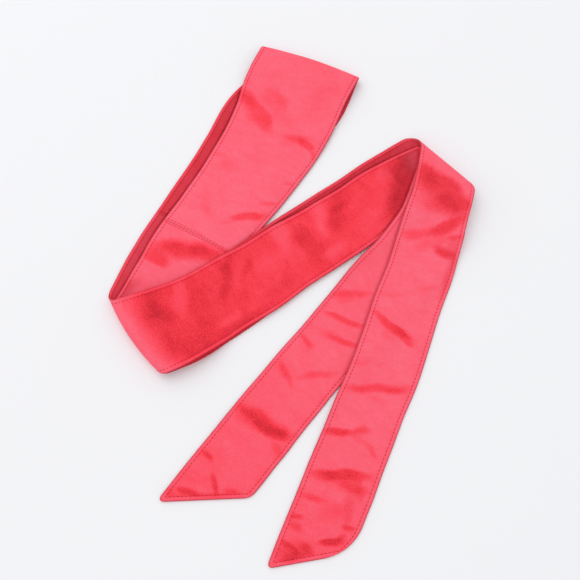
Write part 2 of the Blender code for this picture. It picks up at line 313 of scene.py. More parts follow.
# height of the middle of the wall of one stretch over plan points
def heights(name, points):
    lying = []
    for path in paths.values():
        lift = np.zeros(len(points))
        for z, outside in lying:
            drop = z + lay["pitch"] - lay["wall"] / 2
            lift += (drop * ease(outside, lay["dropReach"] + lay["dropSlope"] * drop)) ** lay["blend"]
        z = lay["wall"] / 2 + lift ** (1 / lay["blend"])
        for foldName in (path.stretch["start"], path.stretch["end"]):
            if foldName:
                fold = lay["folds"][foldName]
                reach = lay["rollReach"] if layerPlace(fold, path.name)[1] else lay["levelReach"]
                z = z + np.maximum(foldLevel(fold, path.name) - z, 0) * ease(insideFold(fold, points), reach)
        if path.name == name:
            return z
        lying.append((z, distanceOutside(points, path.outline)))


# how bare this stretch is: 1 away from the layers that lie on it, 0 beneath one; and the shadow
# close beside their edges
def overlaid(name, points):
    order = list(paths)
    bare, shadow = np.ones(len(points)), np.zeros(len(points))
    for above in order[order.index(name) + 1:]:
        outside = distanceOutside(points, paths[above].outline)
        bare *= 1 - ease(outside, suedette["bareReach"])
        shadow = np.maximum(shadow, ease(outside, suedette["shadowReach"]))
    return bare, shadow * suedette["shadows"].get(name, 0)


ties = {
    "tieBack": ["backDown", "backBand", "backTail"],
    "tieFront": ["frontDown", "frontBand", "frontTail"],
}

paths = {}
for tie, names in ties.items():
    station = math.pi * lay["folds"]["top"]["radius"] / 2 + lay["doubledAt"] * (1 if tie == "tieBack" else -1)
    for name in names:
        paths[name] = ClothPath(name, station)
        fold = lay["folds"].get(paths[name].stretch["end"])
        if fold:
            station += paths[name].length + math.pi * turnRadius(fold, name)
paths = {name: paths[name] for name in lay["stretches"]}
print("laid the middle lines:", {name: round(path.length) for name, path in paths.items()})


# the doubled, turned and topstitched suedette
suedette = {
    "rowStep": 1.6,
    "turnStep": 0.9,
    # half of the wall by the distance from a sewn edge: rolled edge, puffed ridge, stitched dip
    "edge": {
        0.0: 0.0, 0.12: 0.45, 0.45: 0.8, 1.0: 0.98, 1.8: 1.05, 2.6: 1.04, 3.4: 0.95, 4.0: 0.8, 4.6: 0.93,
        5.6: 0.98, 7.2: 1.0,
    },
    # the change of it beside a seam: thin groove, ridge over the turned allowance, stitched dip
    "seam": {
        0.0: -0.1, 0.4: 0.1, 1.0: 0.12, 1.7: -0.16, 2.4: -0.04, 3.1: 0.0, 4.5: 0.0,
    },
    "stitchesInwards": 4.0,   # entries of the two tables above, where the rows of stitches lie
    "stitchesFromSeam": 1.7,
    "thinnest": 0.35,
    # soft unevenness of the faces that show: its depth, and its waves' sizes and starts
    "ripple": 0.22,
    "waves": [(13.0, 17.0, 0.0), (7.3, -9.1, 1.7), (29.0, -37.0, 0.6)],
    "troughFrom": 5.0,        # troughs and ripples start this far from an edge
    "troughOver": 6.0,        # and have their full depth after this much more
    "foldHighlightFade": 1.3,          # the light at a fold, the nap together with a painted highlight on the roll, fades like this
    # painted shadow: the dark line on a layer beside the edge of the one above it
    "shadowReach": 4.0,
    "shadowNap": 0.35,
    "bareReach": 7.0,         # creases and ripples fade out over this distance to a layer above
    "shadows": {"backDown": 0.95, "frontDown": 0.3, "frontBand": 0.9, "backBand": 0.5, "backTail": 0.28},
    "shadeTint": (0.32, 0.26, 0.3, 1.0),
    # painted shading beside an edge, in the nap sheen and in the shade: a painted dark rim where the rolled
    # edge turns from the light, a painted highlight on the puffed ridge, painted shade in the dip of the
    # stitches
    "edgePaintedShading": {
        0.0: -0.3, 0.45: -0.15, 1.0: 0.0, 2.8: 0.04, 3.4: -0.08, 4.0: -0.22, 4.6: -0.1, 6.0: 0.0,
    },
    "edgeShade": {
        0.0: 0.7, 0.45: 0.48, 1.0: 0.16, 1.8: 0.02, 2.6: 0.0,
    },
    # how far the rim outside the stitches is painted lighter, a painted highlight where it stands up in the
    # light, and lifted out of the painted shade
    "rimHighlightLevel": 0.92,
    "rimHighlightShare": 0.6,
    "rimHighlight": {
        0.0: 0.5, 1.0: 0.65, 2.6: 0.55, 3.4: 0.3, 4.0: 0.0,
    },
    # painted shade in the seam's groove and in the stitched dip beside it, and a faint painted highlight on
    # its ridge
    "seamPaintedShading": {
        0.0: -0.16, 0.4: -0.02, 1.0: -0.06, 1.7: -0.2, 2.4: -0.06, 3.1: 0.03, 4.5: 0.0,
    },
}
edgeSteps, seamSteps = np.array(list(suedette["edge"])), np.array(list(suedette["seam"]))
stitchColumn = list(suedette["edge"]).index(suedette["stitchesInwards"])
stitchRow = list(suedette["seam"]).index(suedette["stitchesFromSeam"])

# The camera through which the marks are placed, in mm and in the photograph's pixels, and where it
# aims on the surface: half a millimetre off the studio's each way. Each mark is made this much longer,
# wider and darker than it is written.
sight = {
    "distance": 650.0, "tilt": 17.0, "focal": 650.0, "middle": 290.0, "aim": (-4.0, -14.0),
    "longer": 1.2, "wider": 1.25,
    "darker": {"frontDown": 1.36, "backBand": 1.0, "frontTail": 1.36, "backTail": 1.36},
}

# Creases, and patches of nap with painted shade, that show on each stretch, placed on the photograph and
# tuned by comparing renders with it: the middle, the direction turning downwards, the length and the width in
# its pixels, the height of the face in mm, how dark the colour turns (painted shade of a soft trough together
# with the nap, and below 0 a painted highlight of a ridge), a trough or a ridge of so many mm, how far they
# lie in painted shade, and on which side the rim is firm.
Mark = namedtuple("Mark", "x y angle length width height dark lift shade firm", defaults=(0, 0, 0))
marks = {
    "frontDown": [
        (256, 110, 55, 52, 17, 7, 0.32, -0.5, 0, 1), (246, 98, 50, 28, 18, 7, 0.36),
        (262, 120, 50, 24, 14, 6.5, 0.26, -0.3), (272, 98, 28, 32, 24, 7, 0.16, -0.3),
        (281, 101, 65, 22, 8, 7, 0.14, 0, 0, 1), (277, 112, 35, 44, 20, 6, 0.09, 0.3),
        (297, 138, 6, 34, 12, 5, 0.28, -0.4), (305, 144, 46, 22, 10, 5, 0.4, -0.45, 0, 1),
        (311, 153, 76, 14, 5, 4.5, 0.22, -0.3, 0, 1), (286, 143, 0, 26, 10, 5, 0.08),
        (322, 98, -62, 60, 26, 7, 0.06, 0.25), (220, 154, 5, 17, 6, 4.5, 0.12, -0.3),
        (230, 164, 35, 24, 15, 4.5, 0.09, 0.3), (288, 183.5, 2, 14, 3.5, 4.5, 0.18, -0.35),
        (269, 203, -3, 23, 5, 4.5, 0.18, -0.35), (247, 216.5, -4, 38, 9, 4.5, 0.42, -0.5, 0, 1),
        (226, 221.5, -8, 18, 5, 4.5, 0.12, -0.2), (206, 205, 80, 40, 12, 4.5, 0.09, 0.3),
        (187, 250, 7, 86, 21, 4.5, 0.52, 0.5), (204, 253, 16, 38, 12, 4.5, 0.3, 0, 0, 1),
        (157, 256, 35, 30, 16, 4.5, 0.4, -0.3, 0, -1), (174, 246, -8, 30, 9, 4.5, 0.22, 0, 0, 1),
        (121, 291, -28, 44, 22, 4.5, 0.16, 0, 0.3),
    ],
    "backBand": [
        (151, 312, 80, 64, 28, 11, 0.17, -0.4, 0.04), (151, 310, 84, 34, 15, 11, 0.09, 0, 0.02),
        (169, 346, 58, 36, 20, 11, 0.15, -0.4, 0.04), (160, 330, 68, 66, 38, 11, 0.09, 0, 0.02),
        (196, 346, -22, 84, 22, 10, 0.09, 0, 0.04), (181, 298, 86, 46, 16, 10, -0.24, 0.4),
        (205, 300, 60, 50, 20, 10, -0.05), (225, 277, 97, 52, 14, 10, 0.2, -0.4, 0.03),
        (229, 318, -30, 28, 16, 9, -0.24), (247, 260, 102, 32, 12, 8, 0.17, -0.3),
        (281, 237, 72, 44, 20, 5, -0.32, 0.3), (272, 260, -25, 52, 26, 6, -0.08, 0.3),
        (283, 286, -30, 50, 16, 6, 0.06, 0, 0.07), (247, 318, -32, 80, 12, 5, 0.08, 0, 0.06),
        (309, 244, 47, 60, 18, 5, 0.22, -0.5, 0.04, 1), (334, 251, -30, 34, 13, 5, -0.2, 0.3),
        (320, 219, 72, 44, 16, 5, -0.3, 0.3), (338, 211, 96, 50, 24, 5, 0.26, -0.45, 0.04),
        (349, 192, 60, 20, 12, 5, 0.1), (367, 188, 35, 28, 14, 6, 0.1, -0.3),
        (368, 218, -30, 42, 24, 6, -0.12, 0.35), (381, 172, -32, 22, 13, 8, -0.16, 0.3),
        (403, 182, 102, 74, 28, 9, 0.28, -0.4, 0.32), (396, 162, -35, 36, 18, 9, 0.12, 0, 0.16),
        (413, 159, 84, 38, 24, 11, -0.4, 0, 0.32), (391, 205, 112, 50, 17, 8, 0.1, 0, 0.08),
        (393, 177, 60, 16, 9, 8, -0.12),
    ],
    "frontTail": [
        (441, 193, 42, 72, 34, 13, 0.46, -0.5, 0.1, 1), (449, 203, 40, 36, 18, 13, 0.26, -0.2, 0.08),
        (425, 177, 52, 34, 18, 12, 0.34, 0, 0.06, 1), (434, 203, 20, 40, 18, 12, 0.22, 0, 0.02),
        (447, 226, -26, 44, 13, 11, 0.44, -0.5, 0.05, 1), (421, 231, -8, 46, 14, 10, 0.28, 0.4),
        (432, 242, -14, 50, 14, 9, 0.14), (416, 214, -30, 26, 12, 10, -0.06),
        (455, 237, 0, 18, 6, 10, 0.28, -0.4, 0.03), (445, 250, 22, 26, 13, 9, 0.46, -0.5, 0.1),
        (449, 274, 107, 60, 8, 8, 0.16, 0, 0.08), (452, 250, 100, 34, 12, 9, 0.16, 0, 0.06),
        (390, 293, 3, 34, 6, 5, 0.1, -0.2), (430, 287, -10, 20, 6, 6, 0.12, -0.2),
        (392, 327, 40, 52, 10, 5, 0.46, -0.5, 0, 1), (404, 336, 32, 32, 12, 5, 0.32, -0.3, 0, -1),
        (376, 314, 30, 18, 6, 5, 0.2, -0.2), (390, 336, 60, 24, 16, 5, 0.1),
        (363, 360, -20, 22, 9, 4, 0.12, -0.2), (360, 351, 10, 16, 5, 4, 0.08),
        (376, 389, 1, 70, 12, 3, 0.38, -0.45), (393, 390, 6, 28, 8, 3, 0.28, 0, 0.03, -1),
        (356, 388, -4, 24, 8, 3, 0.14), (377, 400, 18, 26, 8, 2, 0.1),
        (338, 432, 3, 34, 9, 2, 0.48, -0.5, 0.03, 1), (360, 430, -14, 24, 11, 2, 0.34, 0.3, 0.02),
        (362, 441, 35, 34, 8, 2, 0.14, 0.3), (372, 452, 55, 20, 7, 2, 0.2, -0.3),
        (341, 475, 2, 64, 12, 2, 0.5, -0.55, 0.02, 1), (350, 485, 20, 36, 18, 2, 0.4, 0.4, 0.02),
        (358, 488, 92, 30, 10, 2, 0.22, -0.3, 0.03, 1), (347, 510, 98, 42, 13, 2, 0.16, 0, 0.04),
        (314, 498, 12, 32, 9, 2, 0.28, -0.35), (331, 510, 10, 40, 22, 2, 0.12, 0.3),
        (295, 517, 5, 18, 6, 2, 0.34, -0.4, 0.04), (296, 526, 12, 16, 9, 2, 0.28, 0, 0.04),
        (290, 547, 38, 28, 8, 2, 0.34, -0.4, 0.05, 1), (306, 549, 48, 22, 8, 2, 0.34, -0.35, 0.05, 1),
        (294, 555, -6, 36, 10, 2, 0.26, 0, 0.08), (293, 551, -12, 46, 24, 2, 0.28, 0, 0.06),
        (332, 541, -6, 32, 8, 2, 0.46, -0.45, 0.06, 1), (341, 537, -30, 14, 7, 2, 0.3, 0, 0.05),
        (348, 527.5, 12, 16, 7, 2, 0.38, -0.4, 0.05), (284, 560, -4, 22, 5, 2, 0.24, 0, 0.08),
    ],
    "backTail": [
        (350, 293, -2, 46, 10, 5, 0.3, -0.4), (345, 297, -10, 20, 9, 5, 0.14, 0, 0, -1),
        (344, 319, 22, 50, 7, 5, 0.32, -0.4, 0, 1), (342, 341, 20, 48, 7, 5, 0.32, -0.4, 0, 1),
        (327, 331, 18, 34, 5, 5, 0.1), (305, 340, 48, 20, 8, 4, 0.3, -0.35), (310, 344, 20, 14, 7, 4, 0.14),
        (284, 370, 60, 28, 9, 3, 0.28, -0.35), (290, 380, 85, 18, 6, 3, 0.12),
        (317, 374, -6, 48, 9, 3, 0.26, -0.35), (262, 421, 34, 66, 21, 2, 0.52, -0.6),
        (268, 427, 34, 46, 13, 2, 0.38, 0, 0.02, -1), (245, 410, 28, 24, 12, 2, 0.34),
        (281, 435, 45, 22, 12, 2, 0.36, 0, 0.02), (241, 416, 25, 18, 12, 2, 0.12),
        (277, 449, 60, 22, 12, 2, 0.2), (300, 436, 10, 20, 10, 2, 0.08),
        (207, 456, 40, 18, 8, 2, 0.4, -0.35), (214, 484, 80, 26, 8, 2, 0.44, -0.4, 0.05),
        (187, 491, 20, 26, 9, 2, 0.4, -0.3, 0.05), (232, 491, 8, 20, 7, 2, 0.28, -0.3, 0.02),
        (208, 494, 0, 78, 6, 2, 0.2, 0, 0.04), (170, 491, 60, 14, 10, 2, 0.24, 0, 0.04),
        (200, 478, 20, 40, 16, 2, 0.08),
    ],
}

# the same in the plan, in mm and degrees
Crease = namedtuple("Crease", "x y angle length width dark lift shade firm", defaults=(0, 0, 0))
# ones like them on the faces that lie down, made up
hiddenRows = {
    "backDown": [
        (-30, 170, -20, 70, 14, 0.4, -0.35), (-62, 110, 35, 60, 11, 0.5, -0.4),
        (-95, 70, -8, 45, 16, 0.35, -0.3), (-128, 5, -50, 52, 12, 0.45, -0.4),
    ],
    "frontTail": [
        (120, -10, 25, 50, 12, 0.45, -0.4), (84, -98, -12, 58, 14, 0.5, -0.35),
        (47, -180, 15, 46, 10, 0.4, -0.4),
    ],
    "backTail": [
        (60, -38, 48, 60, 13, 0.45, -0.4), (-2, -112, -18, 54, 12, 0.5, -0.35),
        (-56, -176, 30, 44, 11, 0.4, -0.4),
    ],
}


# the place in the plan that shows at a pixel, at a height in mm
def placeAt(x, y, height):
    upright, lean = unit(sight["tilt"])
    aside, below = (np.array([x, y]) - sight["middle"]) / sight["focal"]
    reach = (sight["distance"] * upright - height) / (upright + below * lean)
    eye = np.array([0, -sight["distance"] * lean]) + sight["aim"]
    return eye + np.array([aside, lean - below * upright]) * reach


# the crease of a mark, in whole mm and degrees
def markedCrease(stretchName, mark):
    half = unit(mark.angle) * mark.length / 2
    first, last = (placeAt(*((mark.x, mark.y) + way * half), mark.height) for way in (-1, 1))
    long, angle = np.hypot(*(last - first)), math.degrees(math.atan2(*(last - first)[::-1]))
    turned = not -90 < angle <= 90
    if turned:
        angle -= math.copysign(180, angle)
    middle = (first + last) / 2
    width = mark.width * long / mark.length
    dark = float("%.3g" % (mark.dark * sight["darker"][stretchName])) if mark.dark > 0 else mark.dark
    return Crease(round(middle[0]), round(middle[1]), round(angle), round(long * sight["longer"]),
                  round(width * sight["wider"]), dark, mark.lift, mark.shade,
                  -mark.firm if turned else mark.firm)


creases = {name: [markedCrease(name, Mark(*row)) for row in rows] for name, rows in marks.items()}
hiddenCreases = {name: [Crease(*row) for row in rows] for name, rows in hiddenRows.items()}


# the columns of a strip: close together beside both sewn edges, even between
def columnMaker(count):
    even = np.linspace(0, 1, count + 2)[1:-1]

    def columns(low, high):
        span = (high - low - 2 * edgeSteps[-1])[:, None]
        return np.hstack([low[:, None] + edgeSteps, low[:, None] + edgeSteps[-1] + span * even,
                          high[:, None] - edgeSteps[::-1]])
    return columns


def cutSlant(path):
    return math.sin(math.radians(lay["ends"][path.name]["angle"]))


# places of the rows of one stretch, closer together beside a seam and a cut
def rowPlaces(path, part):
    first = path.seamAt + lay["seamGap"] / 2 if part.get("afterSeam") else 0.0
    last = path.seamAt - lay["seamGap"] / 2 if part.get("beforeSeam") else path.length
    begin, finish = np.array([first]), np.array([last])
    if part.get("afterSeam"):
        begin = first + seamSteps
    if part.get("beforeSeam"):
        finish = (last - seamSteps)[::-1]
    elif not path.stretch["end"]:
        finish = (last - edgeSteps / cutSlant(path))[::-1]
    count = round((finish[0] - begin[-1]) / suedette["rowStep"]) + 1
    return np.concatenate([begin[:-1], np.linspace(begin[-1], finish[0], count), finish[1:]])


# rows of one stretch: points of the middle of the wall, cloth coordinates, distances from the sewn
# edges and from the seam
def stretchRows(part, columns):
    path, at = paths[part["name"]], rowPlaces(paths[part["name"]], part)
    plan, along, across, low, high = path.plan(at, columns, wander=1.0)
    z = heights(path.name, plan.reshape(-1, 2)).reshape(plan.shape[:2])
    inwards = np.minimum(across - low[:, None], high[:, None] - across)
    fromSeam = np.full(len(at), 99.0)
    if part.get("afterSeam"):
        fromSeam = at - at[0]
    if part.get("beforeSeam"):
        fromSeam = at[-1] - at
    elif not path.stretch["end"]:
        inwards = np.minimum(inwards, ((path.length - at) * cutSlant(path))[:, None])
    rows = dict(points=np.dstack([plan, z]), along=along, across=across, inwards=inwards,
                fromSeam=np.repeat(fromSeam[:, None], across.shape[1], 1), owner=np.full(len(at), path.name))
    if part.get("backwards"):
        rows = {key: value[::-1] for key, value in rows.items()}
        rows["along"] = -rows["along"]
    return rows


# rows round a fold, between the last row below it and the first row above it
def turnRows(fold, below, above):
    middle, along, outward = foldAxes(fold)
    alongBelow = (below["points"][-1, :, :2] - middle) @ along
    alongAbove = (above["points"][0, :, :2] - middle) @ along
    radius = turnRadius(fold, above["owner"][0])
    steps = max(12, round(math.pi * radius / suedette["turnStep"]))
    share = np.arange(1, steps)[:, None] / steps
    angle = math.pi * (share - 0.5)
    # the edges run into the turn and out of it in the direction in which the stretches lie
    slopes = []
    for here, there in ((below["points"][-1], below["points"][-5]), (above["points"][0], above["points"][4])):
        off = (here - there)[:, :2]
        slopes.append(np.clip((off @ along) / np.maximum(off @ outward, 0.5), -1.6, 1.6) * math.pi * radius)
    at = (alongBelow * (2 * share**3 - 3 * share**2 + 1) + slopes[0] * (share**3 - 2 * share**2 + share)
          + alongAbove * (3 * share**2 - 2 * share**3) - slopes[1] * (share**3 - share**2))
    out = bowed(fold, at) + radius * np.cos(angle)
    plan = middle + at[..., None] * along + out[..., None] * outward
    z = np.repeat(turnHeight(fold) + radius * np.sin(angle), at.shape[1], 1)
    rows = dict(points=np.dstack([plan, z]))
    for key in ("along", "across", "inwards", "fromSeam"):
        rows[key] = below[key][-1] + (above[key][0] - below[key][-1]) * share
    rows["owner"] = np.where(share[:, 0] < 0.5, below["owner"][-1], above["owner"][0])
    return rows


def stripGrid(piece):
    columns, made = columnMaker(piece["columns"]), []
    for part in piece["parts"]:
        rows = stretchRows(part, columns)
        if made:
            made.append(turnRows(lay["folds"][part["fold"]], made[-1], rows))
        made.append(rows)
    return {key: np.concatenate([rows[key] for rows in made]) for key in made[0]}


def clothNormals(points):
    normal = np.cross(np.gradient(points, axis=0), np.gradient(points, axis=1))
    return normal / np.maximum(np.linalg.norm(normal, axis=-1, keepdims=True), 1e-9)


# how much of a crease is felt at plan points: level inside, with a wavy, ragged rim that is soft
# except on its firm side
def creaseShare(crease, plan):
    x, y = plan[:, 0], plan[:, 1]
    warp = np.stack([np.sin(y / 4.7 + x / 11) + np.sin(x / 7.9 - y / 6.1),
                     np.sin(x / 5.3 - y / 13) + np.sin(y / 8.3)], -1)
    off = plan + warp * min(1.0, crease.width * 0.06) - np.array([crease.x, crease.y])
    along, across = off @ unit(crease.angle), off @ unit(crease.angle + 90)
    away = np.abs(along / crease.length * 2) ** 2.6 + np.abs(across / crease.width * 2) ** 2.0
    away = away ** (1 / 2.2)
    away += 0.02 * np.sin(x / 1.3 + 2 * np.sin(y / 2.9)) + 0.02 * np.sin(y / 1.1 - 2 * np.sin(x / 3.3))
    firm = np.clip(crease.firm * across / crease.width * 4, 0, 1)
    share = np.clip((1 - away) / (0.78 - 0.4 * firm), 0, 1)
    return share * share * (3 - 2 * share)


sides = ("faceA", "faceB")


# A closed shell of cloth on the grid. Its face A is up on the front of the panel and on the tails,
# and face B is the other one. Returns the piece and both faces as grids with their normals and shade.
def clothShell(piece):
    grid = stripGrid(piece)
    points, owner, along, across = (grid[key] for key in ("points", "owner", "along", "across"))
    rows, wide = points.shape[:2]
    normal = clothNormals(points)
    if normal[-4, wide // 2, 2] < 0:
        normal = -normal
    half = readTable(suedette["edge"], grid["inwards"])
    half += readTable(suedette["seam"], grid["fromSeam"]) * np.clip(grid["inwards"] / 1.5, 0, 1)
    # painted shading by the edges and the seam: a dark rim, a light puffed ridge, dark dips where the
    # stitches and the seam's groove sink
    trim = readTable(suedette["edgePaintedShading"], grid["inwards"])
    trim = np.minimum(trim, 0) + np.maximum(trim, 0) * (grid["fromSeam"] > 5)
    trim += readTable(suedette["seamPaintedShading"], grid["fromSeam"])
    thick = {face: half.copy() for face in sides}
    # the nap's sheen painted into the colour: light where the nap lies down the cloth, deep red where it is
    # rubbed up
    nap = {face: readTable(piece["nap"][face], along) + trim for face in sides}
    rim = readTable(suedette["edgeShade"], grid["inwards"])
    rimLight = readTable(suedette["rimHighlight"], grid["inwards"])
    shade = {face: readTable(piece["shade"][face], along) for face in sides}
    shift = np.zeros((rows, wide))
    firm = np.clip((grid["inwards"] - suedette["troughFrom"]) / suedette["troughOver"], 0, 1)
    waves = sum(np.sin(along / ahead + across / aside + start) for ahead, aside, start in suedette["waves"])
    ripple = (waves - 1.8) * suedette["ripple"] / 3
    for stretchName in dict.fromkeys(owner):
        at = np.where(owner == stretchName)[0]
        plan = points[at][..., :2].reshape(-1, 2)
        bare, shadow = (part.reshape(len(at), wide) for part in overlaid(stretchName, plan))
        up, down = sides if (normal[at, wide // 2, 2] > 0).mean() > 0.5 else sides[::-1]
        # the roll of a fold is painted lighter: the nap together with a painted highlight
        for foldHighlight in piece["foldHighlight"]:
            if foldHighlight["on"] == stretchName:
                fold = lay["folds"][foldHighlight["fold"]]
                lit = np.clip(1 - insideFold(fold, plan) / foldHighlight["reach"], 0, 1) ** suedette["foldHighlightFade"]
                lit = lit.reshape(len(at), wide)
                face = up if layerPlace(fold, stretchName)[1] else down
                nap[face][at] += (foldHighlight["nap"] - nap[face][at]) * lit
        creaseShading = {face: np.zeros((len(at), wide)) for face in sides}
        # creases paint shade into their troughs, in the nap sheen and the shade, and a painted highlight
        # where dark is below 0
        for table, face, clear in ((creases, up, bare), (hiddenCreases, down, 1.0)):
            for crease in table.get(stretchName, []):
                felt = creaseShare(crease, plan).reshape(len(at), wide)
                if crease.dark > 0:
                    creaseShading[face] += (crease.dark * felt) ** 2
                else:
                    nap[face][at] -= crease.dark * felt
                shade[face][at] += crease.shade * felt
                felt = felt * clear
                if crease.lift > 0:
                    shift[at] += crease.lift * felt * (1 if face == sides[0] else -1)
                else:
                    thick[face][at] += crease.lift * felt * firm[at]
        for face in sides:  # patches that overlap run into one another
            nap[face][at] -= np.sqrt(creaseShading[face])
        thick[up][at] += ripple[at] * firm[at] * bare
        shade[up][at] = np.maximum(shade[up][at], shadow)
        nap[up][at] -= suedette["shadowNap"] * shadow
    # outside the stitches the rim is painted lighter, a painted highlight, and lifted out of the painted
    # shade
    for face in sides:
        nap[face] += np.maximum(suedette["rimHighlightLevel"] - nap[face], 0) * suedette["rimHighlightShare"] * rimLight
        shade[face] = np.maximum(shade[face] * (1 - rimLight), rim)
    least = np.minimum(half, suedette["thinnest"])
    faceA = points + normal * (shift + np.maximum(thick["faceA"], least))[..., None]
    faceB = points + normal * (shift - np.maximum(thick["faceB"], least))[..., None]
    for face in (faceA, faceB):
        face[..., 2] = np.maximum(face[..., 2], 0.0)  # what rests on the table is pressed flat

    # both faces share the points of the sewn edges and of a cut end
    corner = np.arange(rows * wide).reshape(rows, wide)
    shared = np.zeros((rows, wide), bool)
    shared[:, [0, -1]] = True
    shared[-1] = piece["cutEnd"]
    other = corner.copy()
    other[~shared] = rows * wide + np.arange((~shared).sum())
    vertices = np.vstack([faceA.reshape(-1, 3), faceB[~shared]])
    spread = np.stack([across, along], -1)
    spread = np.vstack([spread.reshape(-1, 2), spread[~shared]]) * mm

    def quads(index):
        return np.stack([index[:-1, :-1], index[:-1, 1:], index[1:, 1:], index[1:, :-1]], -1).reshape(-1, 4)
    faces = np.vstack([quads(corner), quads(other)[:, ::-1]]).tolist()
    walls = [np.stack([corner[0, 1:], corner[0, :-1], other[0, :-1], other[0, 1:]], -1)]
    if not piece["cutEnd"]:
        walls.append(np.stack([corner[-1, :-1], corner[-1, 1:], other[-1, 1:], other[-1, :-1]], -1))
    for face in np.vstack(walls).tolist():
        faces.append(list(dict.fromkeys(face)))
    mesh = bpy.data.meshes.new(piece["name"])
    mesh.from_pydata((vertices * mm).tolist(), [], faces)
    toA = np.cross(faceA[5, 6] - faceA[5, 5], faceA[6, 5] - faceA[5, 5]) @ normal[5, 5]
    if toA < 0:
        mesh.flip_normals()
    mesh.shade_smooth()
    for layer, values in (("nap", nap), ("shade", shade)):
        values = np.clip(np.concatenate([values["faceA"].reshape(-1), values["faceB"][~shared]]), 0, 1.2)
        mesh.attributes.new(layer, "FLOAT", "POINT").data.foreach_set("value", values)
    corners = np.empty(len(mesh.loops), int)
    mesh.loops.foreach_get("vertex_index", corners)
    mesh.uv_layers.new(name="clothSpread").data.foreach_set("uv", spread[corners].reshape(-1))
    made = bpy.data.objects.new(piece["name"], mesh)
    scene.collection.objects.link(made)
    print(piece["name"], "has", len(faces), "faces")
    return made, [(faceA, normal, shade["faceA"]), (faceB, -normal, shade["faceB"])]


# the topstitching
stitching = {
    # from one stitch to the next, as given; one reading of the photograph says 4.7 to 6.1
    "pitch": 3.7,
    "length": 2.9,
    "width": 0.95,
    "height": 0.5,
    "sunk": 0.03,       # how far its middle lies below the face
    "dive": 0.18,       # and how much further its ends
    "glance": 0.8,      # a stitch points along the line from this far behind it to as far ahead
    "clear": 4,         # columns without stitches at both ends of a row
    "thread": "#BA253B",
    "ply": 0.0004,      # metres
    "bump": 0.3, "relief": 0.0001,
    "sockets": {
        "Roughness": 0.7, "Specular IOR Level": 0.15, "Sheen Weight": 0.08,
        "Sheen Tint": linearColour("#F06070"),
    },
}


# one stitch, modelled once: a short fat thread whose two ends dive into the cloth
def modelStitch():
    deselectAll()
    bpy.ops.mesh.primitive_uv_sphere_add(segments=6, ring_count=6, radius=1.0)
    stitch = bpy.context.object
    bpy.ops.object.mode_set(mode="EDIT")
    bpy.ops.mesh.select_all(action="SELECT")
    bpy.ops.transform.rotate(value=math.pi / 2, orient_axis="Y", center_override=(0, 0, 0))
    bpy.ops.transform.resize(value=(stitching["length"] / 2, stitching["width"] / 2, stitching["height"] / 2),
                             center_override=(0, 0, 0))
    bpy.ops.object.mode_set(mode="OBJECT")
    points = np.array([vertex.co[:] for vertex in stitch.data.vertices])
    points[:, 2] -= stitching["dive"] * (points[:, 0] / stitching["length"] * 2) ** 2
    faces = [list(face.vertices) for face in stitch.data.polygons]
    bpy.data.objects.remove(stitch)
    return points, faces


# places, directions and normals of stitches along a line on a face
def stitchPlaces(line, normals, shade):
    steps = np.linalg.norm(np.diff(line, axis=0), axis=1)
    run = np.concatenate([[0], np.cumsum(steps)])
    count = int(run[-1] / stitching["pitch"])
    at = (np.arange(count) + 0.5) * run[-1] / count
    place = np.stack([np.interp(at, run, line[:, i]) for i in range(3)], -1)
    glance = stitching["glance"]
    ahead = np.stack([np.interp(at + glance, run, line[:, i]) - np.interp(at - glance, run, line[:, i])
                      for i in range(3)], -1)
    out = np.stack([np.interp(at, run, normals[:, i]) for i in range(3)], -1)
    ahead /= np.linalg.norm(ahead, axis=1, keepdims=True)
    side = np.cross(out, ahead)
    side /= np.linalg.norm(side, axis=1, keepdims=True)
    return place, ahead, side, np.cross(ahead, side), np.interp(at, run, shade)


def stitchLines(piece, face, normals, shade):
    near, last, wide = stitchColumn, face.shape[0] - 1, face.shape[1]
    between = range(stitching["clear"], wide - stitching["clear"])
    lines = []
    if piece["cutEnd"]:
        turn = last - stitchColumn
        index = [(row, near) for row in range(turn)]
        index += [(turn, column) for column in range(near, wide - near)]
        index += [(row, wide - 1 - near) for row in range(turn - 1, -1, -1)]
        lines.append(index)
    else:
        lines += [[(row, column) for row in range(last + 1)] for column in (near, wide - 1 - near)]
        lines.append([(last - stitchRow, column) for column in between])
    lines.append([(stitchRow, column) for column in between])
    for index in lines:
        row, column = np.array(index).T
        yield face[row, column], normals[row, column], shade[row, column]


def sewStitches(piece, faces, name):
    shape, shapeFaces = stitchShape
    points, shades, count = [], [], 0
    for face in faces:
        for line in stitchLines(piece, *face):
            place, ahead, side, out, shade = stitchPlaces(*line)
            shades.append(np.repeat(shade, len(shape)))
            place = place - out * stitching["sunk"]
            points.append(place[:, None] + shape[:, :1] * ahead[:, None] + shape[:, 1:2] * side[:, None]
                          + shape[:, 2:] * out[:, None])
            count += len(place)
    vertices = np.concatenate(points).reshape(-1, 3)
    every = [[index + len(shape) * stitch for index in face]
             for stitch in range(count) for face in shapeFaces]
    mesh = bpy.data.meshes.new(name)
    vertices[:, 2] = np.maximum(vertices[:, 2], 0.0)
    mesh.from_pydata((vertices * mm).tolist(), [], every)
    # each stitch carries the painted shade of the cloth under it
    mesh.attributes.new("shade", "FLOAT", "POINT").data.foreach_set("value", np.concatenate(shades))
    mesh.shade_smooth()
    made = bpy.data.objects.new(name, mesh)
    scene.collection.objects.link(made)
    print(name, "has", count, "stitches")
    return made


